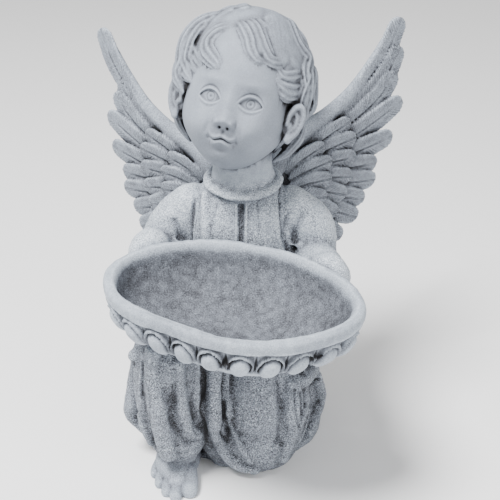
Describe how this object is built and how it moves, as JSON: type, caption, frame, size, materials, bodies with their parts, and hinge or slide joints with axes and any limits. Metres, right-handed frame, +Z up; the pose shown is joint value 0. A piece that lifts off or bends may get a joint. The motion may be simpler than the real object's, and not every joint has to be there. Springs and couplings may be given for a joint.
{
  "type": "angel figurine",
  "caption": "Winged cherub in a long robe, kneeling on one knee and holding a shallow oval bowl in front: a stone-grey cast garden ornament.",
  "frame": {"origin": "on the flat underside of the robe, below the middle of the body", "axes": "+Z up, the figure faces -Y, +X is to the right of someone who looks at its face"},
  "size_m": [0.2072, 0.224, 0.299],
  "materials": {
    "cast_stone": "matt, sandy, with pale dry-brushed high points and darker hollows"
  },
  "bodies": {
    "root": {"angel_figurine": "cast_stone"}
  },
  "joints": []
}
